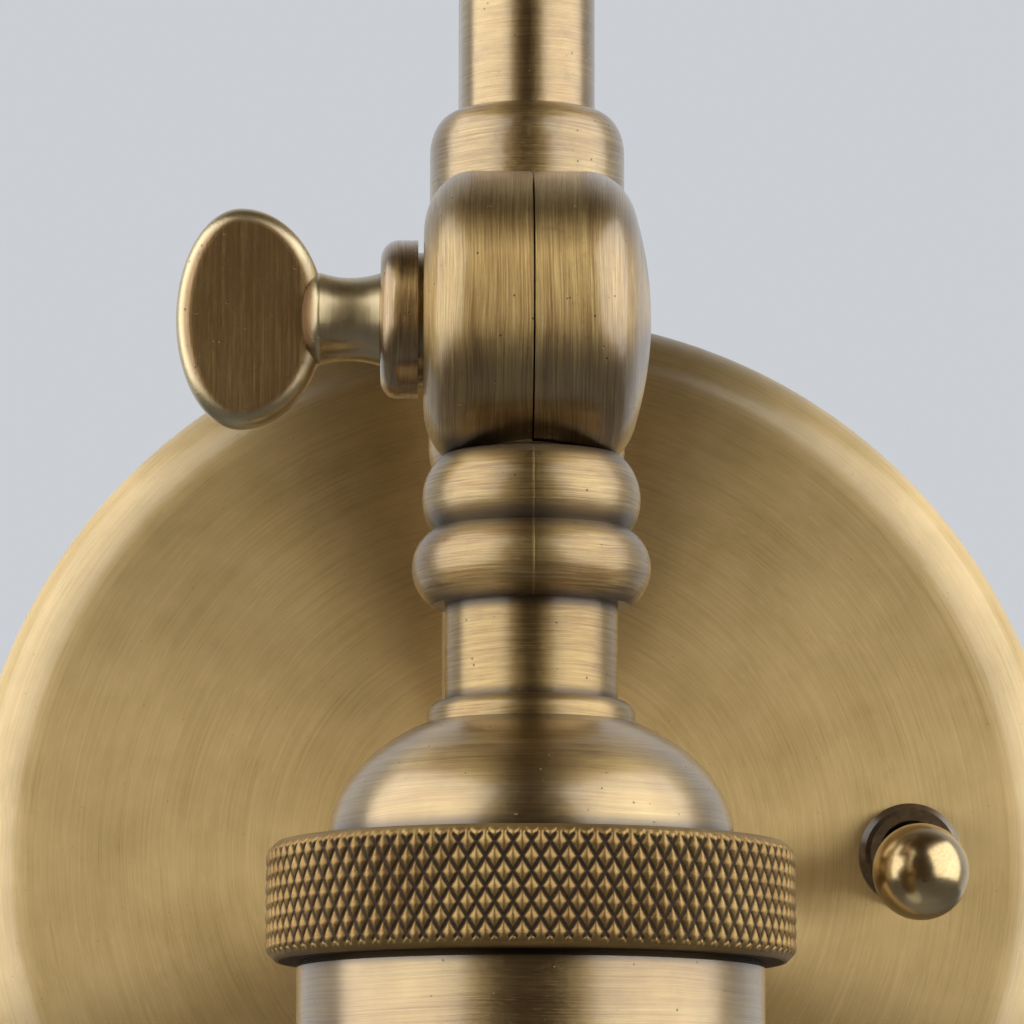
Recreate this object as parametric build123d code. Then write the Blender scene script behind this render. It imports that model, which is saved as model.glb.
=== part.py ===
from build123d import *
import os
from math import asin, degrees, pi, sqrt

# Articulating wall lamp, millimetres. Origin: centre of the backplate on the wall plane.
# +Z up, +X to the right seen from the room, the room is on the -Y side.

# ---- driving dimensions -------------------------------------------------------------------
# wall plate and bracket
PLATE_R = 50.0
PLATE_DEPTH = 20.0
PLATE_WALL = 1.2
PLATE_EDGE_R = 6.0
BRACKET_LENGTH = 86.0
BRACKET_WIDTH = 16.0
BRACKET_THICK = 2.0
FIXING_SPACING = 70.0
FIXING_HOLE_R = 2.25
EARTH_SCREW_X = 20.0
EARTH_SCREW_R = 1.7
EARTH_HEAD = (3.2, 2.0)
TERMINAL_SIZE = (22.0, 9.0, 10.0)
TERMINAL_PITCH = 7.0
TERMINAL_SCREW_R = 1.6
TERMINAL_WIRE_R = 1.2
TERMINAL_STANDOFF = 9.5
TERMINAL_TAB_WIDTH = 6.0
NIPPLE_R = 5.0
NIPPLE_BORE_R = 3.5
NUT_CORNER_R = 8.1
NUT_HEIGHT = 3.0

# switch beside the hub
SWITCH_X = 35.0
SWITCH_BODY = (15.0, 12.0, 18.0)
SWITCH_BUSH_R = 3.7
SWITCH_BUSH_BORE_R = 2.9
SWITCH_NUT_R = 4.6
SWITCH_NUT_HEIGHT = 1.6
SWITCH_BUSH_RISE = 3.0
DOLLY_BALL_R = 4.25
DOLLY_STEM_R = 1.5
DOLLY_PIVOT_R = 2.0
DOLLY_PIN_R = 0.9
DOLLY_REACH = 11.0
DOLLY_REST_DEG = 12.0

# hub that turns on the plate
HUB_BOSS_R = 12.5
HUB_BOSS_EDGE = 2.0
HUB_BOSS_CAVITY_R = 9.0
HUB_WEB = 2.0
HUB_FRONT_INSET = 6.0
HUB_SLEEVE_WALL = 2.55
HUB_SLEEVE_LOW = -11.0
HUB_SLEEVE_TOP = 11.0
HUB_SLEEVE_EDGE = 1.5
HUB_STEP_DROP = 1.3
HUB_COLLAR_WALL = 1.25
HUB_COLLAR_TOP = 22.0
HUB_COLLAR_EDGE = 1.0
HUB_POCKET_R = 6.8
PLUG_LIP = 0.65
PLUG_DEPTH = 4.0
PLUG_BAND = 0.8
PLUG_CROWN = 1.4
RING_GROOVE_DEPTH = 0.4
RING_THICK = 1.2
RING_GAP_WIDTH = 3.0
STOP_PIN_R = 0.8
STOP_PIN_CIRCLE_R = 10.75
STOP_PIN_RISE = 1.8
STOP_GROOVE_DEPTH = 2.0
STOP_GROOVE_PLAY = 0.15
SWIVEL_STOP_DEG = 70.0

# arms
TUBE_R = 5.75
TUBE_WALL = 1.0
ARM_1_OFFSET = 32.0
ELBOW_Z = 225.0
HEAD_Z = 38.7
WIRE_R = 1.0
WIRE_SPREAD = 1.5
GRUB_R = 1.5
ELBOW_GRUB_DROP = 15.0
WIRE_WINDOW = 7.0
END_CAP_LIP = 1.25
END_CAP_BAND = 1.6
END_CAP_CROWN = 2.8
END_CAP_DEPTH = 1.5
CARRIER_LIP = 1.65
CARRIER_BAND = 3.2
CARRIER_CROWN = 2.4
CARRIER_DEPTH = 2.7
SNAP_RING_RISE = 12.0

# knuckle joints
BARREL_R = 12.0
LEFT_FACE_X = 8.7
LEFT_FACE_INSET = 5.0
LEFT_SHOULDER_X = 4.7
RIGHT_SHOULDER_X = 4.3
RIGHT_SHOULDER_RADII = (5.0, 4.25)
CREASE_DEG = 75.0
DOME_TOP_X = 9.6
SPLIT_GAP = 0.15
SEAT_GAP = 0.15
CAVITY_WALL = 2.8
CAVITY_DEPTH = 5.2
BOSS_R = 4.2
COLLAR_WALL = 2.5
KNUCKLE_GAP = 0.35
COLLAR_LONG = 21.5
COLLAR_SHORT = 10.7
COLLAR_SHOULDER = (2.3, 3.4)
WEB_SIZE = (6.5, 13.0)
WEB_EDGE_R = 2.5
WEB_BORE_R = 2.0
NECK_R = 7.2
WAIST_INSET = 0.8
WAIST_COVE = (1.6, 0.6)
BEAD_1_R = 8.74
BEAD_1_HEIGHT = 6.0
BEAD_1_WIDEST_DROP = 3.4
BEAD_GROOVE_R = 7.95
BEAD_2_R = 9.55
BEAD_2_HEIGHT = 6.0
BEAD_2_WIDEST_DROP = 3.2
BEAD_2_LIP = 1.0
STEM_SOCKET_DEPTH = 3.2
STEM_BORE_R = 3.0
STEM_WIRE_HOLE_R = 1.6

# thumb screw and its washer
SCREW_R = 1.95
THREAD_R = 2.0
CLEAR_HOLE_R = 2.15
WASHER_R = 6.4
WASHER_THICK = 3.0
WASHER_EDGE_R = 1.5
WASHER_STANDOFF = 0.45
THUMB_STEM_R = 3.35
THUMB_STEM_FLARE_R = 3.75
THUMB_STEM_END = 17.0
THUMB_STEM_CROWN = 1.6
PADDLE_CENTRE_X = 23.4
PADDLE_OUT = 5.2
PADDLE_IN = 6.8
PADDLE_HALF_HEIGHT = 9.0
PADDLE_THICK = 3.2
PADDLE_EDGE_R = 1.4
SCREW_TIP_X = 6.4
SCREW_TIP_ROOM = 0.6

# lamp holder
PIPE_R = 6.9
PIPE_BORE_R = 3.5
PIPE_SPIGOT_R = 5.0
PIPE_LENGTH = 9.5
PIPE_SPIGOT_LENGTH = 5.8
CAP_COLLAR_R = 8.3
CAP_COLLAR_HEIGHT = 1.8
CAP_FLANGE_LIP = 1.2
CAP_DROP = 9.2
CAP_HEIGHT = 10.8
CAP_WALL = 1.0
CAP_FLANGE_THICK = 1.2
RING_STEP = 2.5
RING_STANDOFF = 0.4
RING_HEIGHT = 9.3
RING_CHAMFER = 0.8
RING_LIP = 2.2
CUP_R = 18.5
CUP_SHOULDER = 1.2
CUP_WALL = 1.2
CUP_LENGTH = 42.0
CUP_EDGE_R = 0.5
HOLDER_WALL = 1.7
HOLDER_RIM_HEIGHT = 3.5
HOLDER_FLOOR_DEPTH = 12.3
HOLDER_DEPTH = 38.3
HOLDER_SCREW_X = 8.0
HOLDER_SCREW_R = 2.0
HOLDER_SCREW_DEPTH = 5.0
CONTACT_RIVET_R = 1.6
CONTACT_PAD = (3.2, 0.8)
SHELL_R = 14.2
SHELL_WALL = 0.5
FIT_GAP = 0.05
CLEARANCE = 0.3

# lamp bulb
BULB_THREAD_PLAY = 0.5
BULB_THREAD_DEPTH = 0.9
BULB_THREAD_PITCH = 3.6
BULB_THREAD_TURNS = 5
BULB_CAP_WALL = 0.8
BULB_CAP_LENGTH = 23.0
BULB_CAP_TAPER = 2.4
BULB_CAP_SHOULDER = (1.2, 0.4)
BULB_TIP_R = 4.8
BULB_TIP_LENGTH = 3.2
BULB_NECK_DEPTH = 2.0
BULB_NECK_FLARE = (2.6, 8.0)
BULB_GLASS_WALL = 0.8
BULB_GLASS_LENGTH = 112.0
BULB_R = 32.0
BULB_STEM_NECK = (3.2, 12.0)
BULB_STEM_TIP_R = 2.2
FILAMENT_R = 0.9
FILAMENT_COUNT = 4
FILAMENT_LENGTH = 38.0
FILAMENT_LEAN_DEG = 7.0
FILAMENT_CIRCLE_R = 3.6
FILAMENT_DROP = 32.0

# ---- places worked out from them ----------------------------------------------------------
HUB_SLEEVE_R = TUBE_R + HUB_SLEEVE_WALL
HUB_COLLAR_R = TUBE_R + HUB_COLLAR_WALL
COLLAR_R = TUBE_R + COLLAR_WALL
LEFT_FACE_R = BARREL_R - LEFT_FACE_INSET
CAVITY_R = BARREL_R - CAVITY_WALL
ARM_PITCH = BARREL_R + COLLAR_R + KNUCKLE_GAP
ARM_1_Y = -ARM_1_OFFSET
ARM_2_Y = ARM_1_Y - ARM_PITCH
HEAD_Y = ARM_2_Y - ARM_PITCH
TUBE_BORE_R = TUBE_R - TUBE_WALL
HALF_SPLIT = SPLIT_GAP / 2
WASHER_IN_X = LEFT_FACE_X + WASHER_STANDOFF
WASHER_OUT_X = WASHER_IN_X + WASHER_THICK

# heights below the knuckle's axis, each from the one above it
BEAD_1_TOP = WAIST_INSET - BARREL_R
BEAD_GROOVE_Z = BEAD_1_TOP - BEAD_1_HEIGHT
BEAD_2_LOW = BEAD_GROOVE_Z - BEAD_2_HEIGHT
BEAD_2_LOW_R = PIPE_R + BEAD_2_LIP
CAP_TOP = BEAD_2_LOW - PIPE_LENGTH
PIPE_SPIGOT_LOW = CAP_TOP - PIPE_SPIGOT_LENGTH
CAP_BASE = CAP_TOP - CAP_DROP
RING_TOP = CAP_BASE - RING_STANDOFF
RING_LOW = RING_TOP - RING_HEIGHT
CAP_FLANGE_TOP = RING_TOP - RING_LIP
CAP_FLANGE_LOW = CAP_FLANGE_TOP - CAP_FLANGE_THICK
CUP_LOW = RING_LOW - CUP_LENGTH
HOLDER_FLOOR = CAP_FLANGE_LOW - HOLDER_FLOOR_DEPTH
HOLDER_MOUTH = CAP_FLANGE_LOW - HOLDER_DEPTH
BULB_TIP_TOP = HOLDER_FLOOR - CONTACT_PAD[1]
BULB_CAP_TOP = BULB_TIP_TOP - BULB_TIP_LENGTH
BULB_CAP_LOW = BULB_CAP_TOP - BULB_CAP_LENGTH
BULB_NECK_TOP = BULB_CAP_LOW + BULB_NECK_DEPTH

# radii of the lamp holder, from the cup outwards and inwards
RING_R = CUP_R + RING_STEP
CUP_NECK_R = CUP_R - CUP_SHOULDER + CLEARANCE
CAP_FLANGE_R = CUP_NECK_R - CLEARANCE
CAP_R = CAP_FLANGE_R - CAP_FLANGE_LIP
CUP_NECK_INNER_R = CUP_NECK_R - CUP_WALL
HOLDER_R = SHELL_R + HOLDER_WALL
BULB_CAP_R = SHELL_R - SHELL_WALL - BULB_THREAD_PLAY
BULB_CAP_CORE_R = BULB_CAP_R - BULB_THREAD_DEPTH
BULB_NECK_R = BULB_CAP_CORE_R - BULB_CAP_WALL

LOW = (Align.CENTER, Align.CENTER, Align.MIN)
HEAD_PLACE = Pos(0, HEAD_Y, HEAD_Z)
ELBOW_PLACE = Pos(0, ARM_1_Y, ELBOW_Z)
TO_X = Rot(0, 90, 0)
TO_ROOM = Rot(90, 0, 0)


# ---- shape helpers ------------------------------------------------------------------------
def lathe(*edges):
    """Solid turned about Z from a closed outline of (radius, height) edges."""
    return revolve(Plane.XZ * make_face(edges), Axis.Z)


def turned(*points):
    """Solid turned about Z from straight (radius, height) corners."""
    return lathe(*Polyline(*points, close=True).edges())


def rod(radius, low, high):
    """Upright round bar from one height to another."""
    return Pos(0, 0, low) * Cylinder(radius, high - low, align=LOW)


def sleeve(outer, inner, low, high):
    """Upright round tube."""
    return rod(outer, low, high) - rod(inner, low - 1, high + 1)


def hex_nut(corner_r, bore_r, low, height):
    """Upright hexagon nut."""
    body = Pos(0, 0, low) * extrude(RegularPolygon(corner_r, 6), height)
    return body - rod(bore_r, low - 1, low + height + 1)


def crown(radius, edge, top):
    """Shallow round-topped arc from the rim (radius, edge) to the axis at (0, top)."""
    rise = top - edge
    arc_r = (radius ** 2 + rise ** 2) / (2 * abs(rise))
    drop = arc_r - sqrt(arc_r ** 2 - (radius / 2) ** 2)
    middle = (radius / 2, top - drop * (1 if rise > 0 else -1))
    return ThreePointArc((radius, edge), middle, (0, top))


def save(shape, name):
    """Write one piece, or one group of equal pieces, as its own file."""
    shape.label = name
    export_step(shape, f"parts/{name}.step")


# ---- wall side ----------------------------------------------------------------------------
def wall_bracket():
    strap = Box(BRACKET_LENGTH, BRACKET_WIDTH, BRACKET_THICK, align=LOW)
    strap = fillet(strap.edges().filter_by(Axis.Z), BRACKET_WIDTH / 4)
    strap -= rod(NIPPLE_R, -1, BRACKET_THICK + 1)
    for side in (-1, 1):
        strap -= Pos(side * FIXING_SPACING / 2, 0, 0) * rod(FIXING_HOLE_R, -1, BRACKET_THICK + 1)
    strap -= Pos(-EARTH_SCREW_X, 0, 0) * rod(EARTH_SCREW_R, -1, BRACKET_THICK + 1)
    return TO_ROOM * strap


def threaded_nipple():
    ring_low, ring_high = retaining_ring_span()
    body = sleeve(NIPPLE_R, NIPPLE_BORE_R, CLEARANCE, ring_high + RING_THICK)
    groove = sleeve(NIPPLE_R + 1, NIPPLE_R - RING_GROOVE_DEPTH, ring_low, ring_high)
    return TO_ROOM * (body - groove)


def backplate():
    bend = PLATE_DEPTH - PLATE_EDGE_R
    flat = PLATE_R - PLATE_EDGE_R
    inner_r = PLATE_R - PLATE_WALL
    inner_top = PLATE_DEPTH - PLATE_WALL
    outer_bend = CenterArc((flat, bend), PLATE_EDGE_R, 0, 90)
    inner_bend = CenterArc((flat, bend), PLATE_EDGE_R - PLATE_WALL, 0, 90)
    pan = lathe(
        Line((PLATE_R, 0), (PLATE_R, bend)),
        outer_bend,
        Line((flat, PLATE_DEPTH), (NIPPLE_R, PLATE_DEPTH)),
        Line((NIPPLE_R, PLATE_DEPTH), (NIPPLE_R, inner_top)),
        Line((NIPPLE_R, inner_top), (flat, inner_top)),
        inner_bend,
        Line((inner_r, bend), (inner_r, 0)),
        Line((inner_r, 0), (PLATE_R, 0)),
    )
    pan -= Pos(SWITCH_X, 0, 0) * rod(SWITCH_BUSH_R, bend, PLATE_DEPTH + 1)
    pan -= Pos(0, -STOP_PIN_CIRCLE_R, 0) * rod(STOP_PIN_R, bend, PLATE_DEPTH + 1)
    return TO_ROOM * pan


def swivel_stop_pin():
    pin = rod(STOP_PIN_R, PLATE_DEPTH - PLATE_WALL, PLATE_DEPTH + STOP_PIN_RISE)
    return TO_ROOM * (Pos(0, -STOP_PIN_CIRCLE_R, 0) * pin)


def hub_web_span():
    """Depths of the hub's web: it runs between the friction washer and the retaining ring."""
    low = PLATE_DEPTH + NUT_HEIGHT + 1.0
    return low, low + HUB_WEB


def retaining_ring_span():
    low = hub_web_span()[1] + FIT_GAP
    return low, low + RING_THICK


def retaining_ring():
    low, high = retaining_ring_span()
    ring = sleeve(HUB_POCKET_R - CLEARANCE, NIPPLE_R - RING_GROOVE_DEPTH, low, high)
    gap = Pos(0, HUB_POCKET_R, low) * Box(RING_GAP_WIDTH, 2 * HUB_POCKET_R, 2 * RING_THICK, align=LOW)
    return TO_ROOM * (ring - gap)


def hub_friction_washer():
    low = PLATE_DEPTH + NUT_HEIGHT
    return TO_ROOM * sleeve(HUB_BOSS_CAVITY_R - 0.5, NIPPLE_R + FIT_GAP, low, hub_web_span()[0])


def terminal_block():
    """Three-way block beside the bracket, with its screws as a group of their own."""
    height = TERMINAL_SIZE[2]
    edge = BRACKET_WIDTH / 2
    place = Pos(0, edge + TERMINAL_STANDOFF + TERMINAL_SIZE[1] / 2, BRACKET_THICK)
    block = place * Box(*TERMINAL_SIZE, align=LOW)
    screws = []
    for step in (-1, 0, 1):
        spot = place * Pos(step * TERMINAL_PITCH, 0, 0)
        wire_way = Rot(90, 0, 0) * Pos(0, height * 0.3, 0) * rod(TERMINAL_WIRE_R, -height, height)
        block -= spot * rod(TERMINAL_SCREW_R, height * 0.4, height + 1)
        block -= spot * wire_way
        head = spot * rod(TERMINAL_SCREW_R, height / 2, height - 0.6)
        slot = spot * Pos(0, 0, height - 1.2) * Box(3 * TERMINAL_SCREW_R, 0.5, 2.0, align=LOW)
        screws.append(head - slot)
    reach = TERMINAL_STANDOFF + TERMINAL_SIZE[1] * 0.8
    carrier = Pos(0, edge + reach / 2, 0) * Box(TERMINAL_TAB_WIDTH, reach, BRACKET_THICK, align=LOW)
    return TO_ROOM * (block + carrier), TO_ROOM * Compound(children=screws)


def earth_screw():
    head_r, head_height = EARTH_HEAD
    top = BRACKET_THICK + head_height
    slot = Pos(0, 0, top - 0.8) * Box(2.5 * head_r, 0.7, head_height, align=LOW)
    screw = rod(EARTH_SCREW_R, CLEARANCE, BRACKET_THICK) + rod(head_r, BRACKET_THICK, top) - slot
    return TO_ROOM * (Pos(-EARTH_SCREW_X, 0, 0) * screw)


# ---- switch -------------------------------------------------------------------------------
def switch_place():
    return TO_ROOM * Pos(SWITCH_X, 0, PLATE_DEPTH)


def switch_body():
    width, depth, height = SWITCH_BODY
    block = Box(width, height, depth, align=(Align.CENTER, Align.CENTER, Align.MAX))
    block = fillet(block.edges().filter_by(Axis.Z), 1.5)
    block -= rod(SWITCH_BUSH_BORE_R, -5.0, 1)
    return switch_place() * Pos(0, 0, -PLATE_WALL) * block


def switch_bush():
    return switch_place() * sleeve(SWITCH_BUSH_R, SWITCH_BUSH_BORE_R, -PLATE_WALL, SWITCH_BUSH_RISE)


def switch_nut():
    top = SWITCH_NUT_HEIGHT
    nut = turned(
        (SWITCH_BUSH_R, 0), (SWITCH_NUT_R, 0), (SWITCH_NUT_R, top - 0.5),
        (SWITCH_NUT_R - 0.5, top), (SWITCH_BUSH_R, top),
    )
    return switch_place() * nut


def switch_dolly():
    """Ball-ended lever, thrown down at rest, on a small cross pin inside the bush."""
    pin_half = sqrt(SWITCH_BUSH_BORE_R ** 2 - DOLLY_PIN_R ** 2) - FIT_GAP
    lever = rod(DOLLY_STEM_R, 0, DOLLY_REACH)
    lever += Sphere(DOLLY_PIVOT_R)
    lever += TO_X * Cylinder(DOLLY_PIN_R, 2 * pin_half)
    lever += Pos(0, 0, DOLLY_REACH) * Sphere(DOLLY_BALL_R)
    return switch_place() * Rot(DOLLY_REST_DEG, 0, 0) * lever


# ---- hub ----------------------------------------------------------------------------------
def swivel_hub():
    web_low, web_high = hub_web_span()
    back = PLATE_DEPTH + CLEARANCE
    front = max(web_high, ARM_1_OFFSET - HUB_FRONT_INSET)
    plug_seat_r = TUBE_R + PLUG_LIP + FIT_GAP
    boss = turned(
        (0, back), (HUB_BOSS_R, back), (HUB_BOSS_R, front - HUB_BOSS_EDGE),
        (HUB_BOSS_R - HUB_BOSS_EDGE, front), (0, front),
    )
    upright = turned(
        (0, HUB_SLEEVE_LOW), (HUB_SLEEVE_R - HUB_SLEEVE_EDGE, HUB_SLEEVE_LOW),
        (HUB_SLEEVE_R, HUB_SLEEVE_LOW + HUB_SLEEVE_EDGE), (HUB_SLEEVE_R, HUB_SLEEVE_TOP - HUB_STEP_DROP),
        (HUB_COLLAR_R, HUB_SLEEVE_TOP), (HUB_COLLAR_R, HUB_COLLAR_TOP - HUB_COLLAR_EDGE),
        (HUB_COLLAR_R - HUB_COLLAR_EDGE, HUB_COLLAR_TOP), (0, HUB_COLLAR_TOP),
    )
    to_arm = Pos(0, ARM_1_Y, 0)
    hub = TO_ROOM * boss + to_arm * upright
    hub -= TO_ROOM * rod(HUB_BOSS_CAVITY_R, back - 1, web_low)
    hub -= TO_ROOM * rod(NIPPLE_R + FIT_GAP, back, ARM_1_OFFSET)
    hub -= TO_ROOM * rod(HUB_POCKET_R, web_high, ARM_1_OFFSET)
    hub -= to_arm * rod(TUBE_R, HUB_SLEEVE_LOW - 1, HUB_COLLAR_TOP + 1)
    hub -= to_arm * rod(plug_seat_r, -HUB_BOSS_R - 1, HUB_SLEEVE_LOW)
    hub -= TO_ROOM * stop_groove(back)
    hub -= grub_place() * rod(GRUB_R, 0, 2 * HUB_COLLAR_R)
    return hub


def stop_groove(back):
    """Arc groove in the hub's back face that the stop pin runs in."""
    half_width = STOP_PIN_R + STOP_GROOVE_PLAY
    pin_angle = 180 * STOP_PIN_R / (pi * STOP_PIN_CIRCLE_R)
    half_arc = SWIVEL_STOP_DEG + pin_angle + 1.0
    inner = STOP_PIN_CIRCLE_R - half_width
    outer = STOP_PIN_CIRCLE_R + half_width
    section = Plane.XZ * Pos((inner + outer) / 2, back) * Rectangle(2 * half_width, 2 * STOP_GROOVE_DEPTH)
    return Rot(0, 0, -90 - half_arc) * revolve(section, Axis.Z, 2 * half_arc)


def grub_place():
    """The grub screw enters the hub's collar from the wall side."""
    return Pos(0, ARM_1_Y, (HUB_SLEEVE_TOP + HUB_COLLAR_TOP) / 2) * Rot(-90, 0, 0)


def grub_screw(inner_r, outer_r):
    """Headless screw lying along Z, with a hexagon socket in its outer end."""
    key = Pos(0, 0, outer_r - 1.2) * extrude(RegularPolygon(0.85, 6), 2.0)
    return rod(GRUB_R, inner_r, outer_r) - key


def hub_plug():
    low = HUB_SLEEVE_LOW
    rim = TUBE_R + PLUG_LIP
    top = low + PLUG_DEPTH
    edge = low - PLUG_BAND
    tip = edge - PLUG_CROWN
    head = lathe(
        crown(rim, edge, tip),
        Line((0, tip), (0, top)),
        Line((0, top), (TUBE_R, top)),
        Line((TUBE_R, top), (TUBE_R, low)),
        Line((TUBE_R, low), (rim, low)),
        Line((rim, low), (rim, edge)),
    )
    return Pos(0, ARM_1_Y, 0) * head


# ---- arms ---------------------------------------------------------------------------------
def arm_1_tube():
    top = ELBOW_Z + BEAD_2_LOW + STEM_SOCKET_DEPTH
    return Pos(0, ARM_1_Y, 0) * sleeve(TUBE_R, TUBE_BORE_R, HUB_POCKET_R + CLEARANCE, top)


def arm_2_span():
    """Heights of the upper arm's tube: a little inside each end cap."""
    low = HEAD_Z - COLLAR_SHORT - CLEARANCE - CARRIER_DEPTH
    return low, ELBOW_Z + COLLAR_SHORT + END_CAP_DEPTH


def arm_2_tube():
    low, top = arm_2_span()
    place = Pos(0, ARM_2_Y, 0)
    tube = sleeve(TUBE_R, TUBE_BORE_R, low, top)
    tube -= Pos(0, 0, snap_ring_low()) * sleeve(TUBE_R + 1, TUBE_R - RING_GROOVE_DEPTH, 0, RING_THICK)
    window = Box(WIRE_WINDOW, 2 * TUBE_WALL + 2, WIRE_WINDOW)
    head_window = Pos(0, -TUBE_R, HEAD_Z) * window
    elbow_window = Pos(0, TUBE_R, ELBOW_Z) * window
    return place * (tube - head_window - elbow_window)


def snap_ring_low():
    """Height of the ring that keeps the head's collar on the tube."""
    return HEAD_Z + SNAP_RING_RISE


def swivel_snap_ring():
    ring = sleeve(TUBE_R + 0.9, TUBE_R - RING_GROOVE_DEPTH, 0, RING_THICK)
    ring -= Pos(0, TUBE_R, 0) * Box(RING_GAP_WIDTH, TUBE_R * 2, 4 * RING_THICK)
    return Pos(0, ARM_2_Y, snap_ring_low()) * ring


def arm_2_top_cap():
    """Screwed finial that closes the top of the upper arm."""
    base = ELBOW_Z + COLLAR_SHORT
    return end_cap(base, base + END_CAP_DEPTH, END_CAP_LIP, END_CAP_BAND, END_CAP_CROWN, 1)


def arm_2_bottom_cap():
    """Screwed cap under the head's collar; it carries the head on the tube."""
    base = HEAD_Z - COLLAR_SHORT - CLEARANCE
    return end_cap(base, base - CARRIER_DEPTH, CARRIER_LIP, CARRIER_BAND, CARRIER_CROWN, -1)


def end_cap(base, end, lip, band, rise, way):
    """Button for one end of the upper arm; way is 1 for the top end and -1 for the bottom end."""
    rim = TUBE_R + lip
    edge = base + way * band
    tip = edge + way * rise
    cap = lathe(
        Line((0, end), (TUBE_R, end)),
        Line((TUBE_R, end), (TUBE_R, base)),
        Line((TUBE_R, base), (rim, base)),
        Line((rim, base), (rim, edge)),
        crown(rim, edge, tip),
        Line((0, tip), (0, end)),
    )
    return Pos(0, ARM_2_Y, 0) * cap


def wire_pair(low, high, y):
    """The two insulated conductors that run up one arm."""
    wires = [Pos(side * WIRE_SPREAD, y, 0) * rod(WIRE_R, low, high) for side in (-1, 1)]
    return Compound(children=wires)


# ---- knuckle ------------------------------------------------------------------------------
def left_barrel():
    """Half barrel on the thumb screw's side; the pivot axis is X."""
    shoulder = EllipticalCenterArc(
        (LEFT_FACE_R, -LEFT_SHOULDER_X),
        BARREL_R - LEFT_FACE_R, LEFT_FACE_X - LEFT_SHOULDER_X, start_angle=270, arc_size=90,
    )
    return TO_X * lathe(
        Line((0, -LEFT_FACE_X), (LEFT_FACE_R, -LEFT_FACE_X)),
        shoulder,
        Line((BARREL_R, -LEFT_SHOULDER_X), (BARREL_R, -HALF_SPLIT)),
        Line((BARREL_R, -HALF_SPLIT), (0, -HALF_SPLIT)),
        Line((0, -HALF_SPLIT), (0, -LEFT_FACE_X)),
    )


def right_barrel(gap=0.0):
    """Domed half barrel; with a gap it is the room that this half turns in."""
    across, along = RIGHT_SHOULDER_RADII
    start = -HALF_SPLIT if gap else HALF_SPLIT
    centre = (BARREL_R - across, RIGHT_SHOULDER_X)
    shoulder = EllipticalCenterArc(centre, across + gap, along + gap, start_angle=0, arc_size=CREASE_DEG)
    crease = shoulder @ 1
    return TO_X * lathe(
        Line((0, start), (BARREL_R + gap, start)),
        Line((BARREL_R + gap, start), (BARREL_R + gap, RIGHT_SHOULDER_X)),
        shoulder,
        crown(crease.X, crease.Y, DOME_TOP_X + gap),
        Line((0, DOME_TOP_X + gap), (0, start)),
    )


def cavity(side):
    """Room inside one half for the wires, round the screw's boss."""
    start = side * HALF_SPLIT
    ring = sleeve(CAVITY_R, BOSS_R, 0, CAVITY_DEPTH)
    flip = Rot(0, 90 * side, 0)
    return Pos(start, 0, 0) * flip * ring


def stem_half(socket_r):
    """Half barrel, neck and two beads in one casting, with a socket for the pipe or tube below."""
    cove_run, cove_rise = WAIST_COVE
    cove_top = BEAD_1_TOP + cove_rise
    core_r = NECK_R - cove_run
    waist = (NECK_R, BEAD_1_TOP)
    groove = (BEAD_GROOVE_R, BEAD_GROOVE_Z)
    end = (BEAD_2_LOW_R, BEAD_2_LOW)
    beads = lathe(
        Line((0, 0), (core_r, 0)),
        Line((core_r, 0), (core_r, cove_top)),
        EllipticalCenterArc((NECK_R, cove_top), cove_run, cove_rise, start_angle=180, arc_size=90),
        ThreePointArc(waist, (BEAD_1_R, BEAD_1_TOP - BEAD_1_WIDEST_DROP), groove),
        ThreePointArc(groove, (BEAD_2_R, BEAD_GROOVE_Z - BEAD_2_WIDEST_DROP), end),
        Line(end, (0, BEAD_2_LOW)),
        Line((0, BEAD_2_LOW), (0, 0)),
    )
    half = left_barrel() + (beads - right_barrel(SEAT_GAP))
    half -= cavity(-1)
    half -= TO_X * rod(CLEAR_HOLE_R, -LEFT_FACE_X - 1, 1)
    half -= rod(STEM_BORE_R, BEAD_2_LOW - 1, -BARREL_R + 1.5)
    half -= Pos(-STEM_BORE_R, 0, 0) * rod(STEM_WIRE_HOLE_R, BEAD_1_TOP - 3.0, -BOSS_R - 2.0)
    half -= rod(socket_r, BEAD_2_LOW - 1, BEAD_2_LOW + STEM_SOCKET_DEPTH)
    return half


def collar_half(toward, low, high, bore_r):
    """Domed half barrel with the collar that goes round the upper arm's tube."""
    width, height = WEB_SIZE
    run_x, run_z = COLLAR_SHOULDER
    bore_x = HALF_SPLIT + width / 2
    web_face = Plane.XZ * Pos(bore_x, 0) * RectangleRounded(width, height, WEB_EDGE_R)
    web = extrude(web_face, -toward * ARM_PITCH)
    shoulder_x = COLLAR_R - run_x
    top_end = EllipticalCenterArc((shoulder_x, high - run_z), run_x, run_z, start_angle=0, arc_size=90)
    low_end = EllipticalCenterArc((shoulder_x, low + run_z), run_x, run_z, start_angle=270, arc_size=90)
    collar = lathe(
        Line((0, low), (shoulder_x, low)),
        low_end,
        Line((COLLAR_R, low + run_z), (COLLAR_R, high - run_z)),
        top_end,
        Line((shoulder_x, high), (0, high)),
        Line((0, high), (0, low)),
    )
    at_tube = Pos(0, toward * ARM_PITCH, 0)
    half = right_barrel() + web + at_tube * collar
    half -= cavity(1)
    half -= TO_X * rod(THREAD_R, 0, SCREW_TIP_X + SCREW_TIP_ROOM)
    half -= at_tube * rod(bore_r, low - 1, high + 1)
    half -= Pos(bore_x, 0, 0) * Rot(-90 * toward, 0, 0) * rod(WEB_BORE_R, BOSS_R + 1, ARM_PITCH)
    return half


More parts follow.
